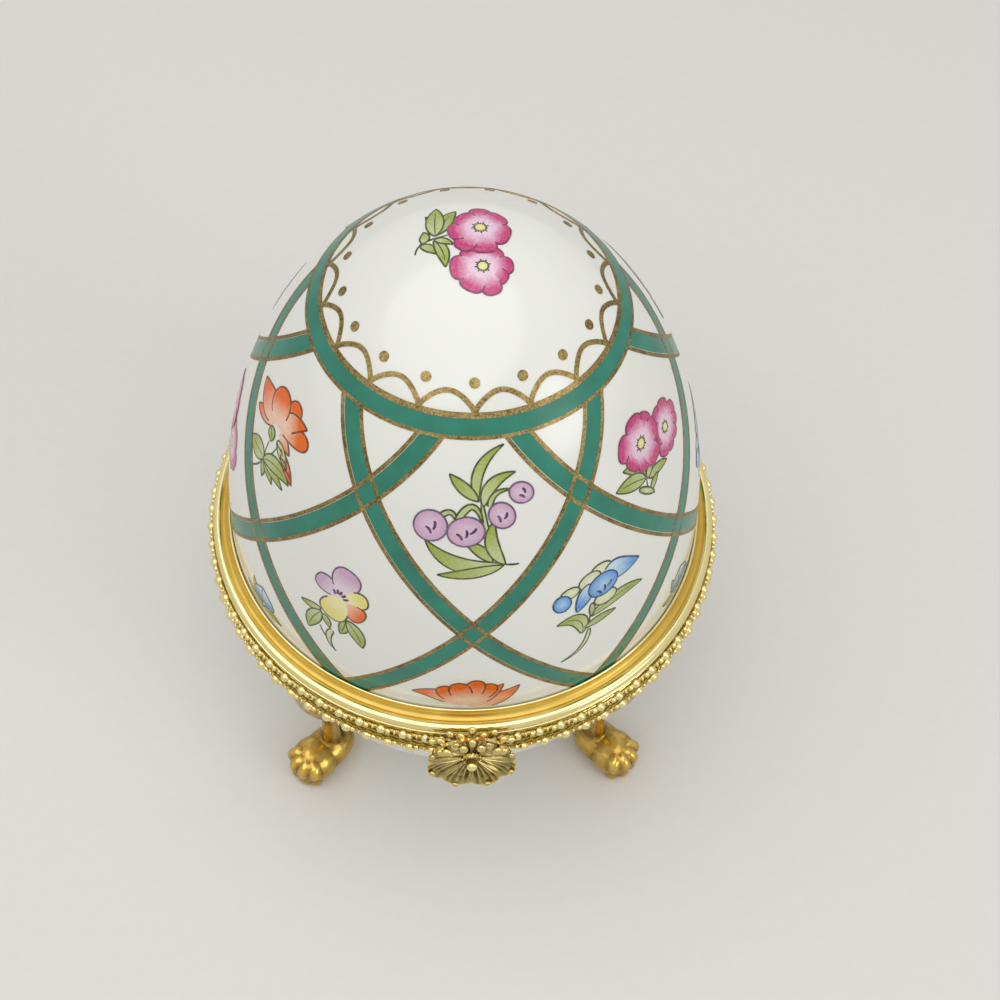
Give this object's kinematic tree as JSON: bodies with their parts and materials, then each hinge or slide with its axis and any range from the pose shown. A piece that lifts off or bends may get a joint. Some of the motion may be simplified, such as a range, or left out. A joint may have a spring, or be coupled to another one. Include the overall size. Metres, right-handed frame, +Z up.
{
  "type": "egg trinket box",
  "caption": "Hinged porcelain egg box with gilt beaded bezels, a flower clasp and gilt paw feet; the domed lid opens backwards.",
  "frame": {"origin": "on the floor under the middle of the box, which is the egg's axis", "axes": "+Z up along the egg's axis, -Y towards the clasp, +Y towards the hinge, +X to the right seen from the clasp"},
  "size_m": [0.0816, 0.089, 0.1032],
  "materials": {
    "porcelain": "clear glossy glaze over white porcelain",
    "polished_gilt": "polished gilt plating",
    "cast_gilt": "cast relief with bright gilt plating",
    "satin_gilt": "satin gilt plating on a casting"
  },
  "bodies": {
    "base": {"base_shell": "porcelain", "base_bezel": "polished_gilt", "base_beading_left": "polished_gilt", "base_beading_right": "polished_gilt", "base_hinge_leaf": "polished_gilt", "hinge_pin": "polished_gilt", "catch_stud": "polished_gilt", "leg_front_left": "satin_gilt", "leg_front_right": "satin_gilt", "leg_back_left": "satin_gilt", "leg_back_right": "satin_gilt"},
    "lid": {"lid_shell": "porcelain", "lid_bezel": "polished_gilt", "lid_beading_left": "polished_gilt", "lid_beading_right": "polished_gilt", "lid_hinge_leaf": "polished_gilt", "clasp_tongue": "polished_gilt", "clasp_rosette": "cast_gilt"}
  },
  "joints": [
    {"name": "lid_hinge", "type": "hinge", "parent": "base", "child": "lid", "pos_m": [0, 0.0419, 0.0405], "axis": [-1, 0, 0], "range_deg": [0, 75]}
  ]
}
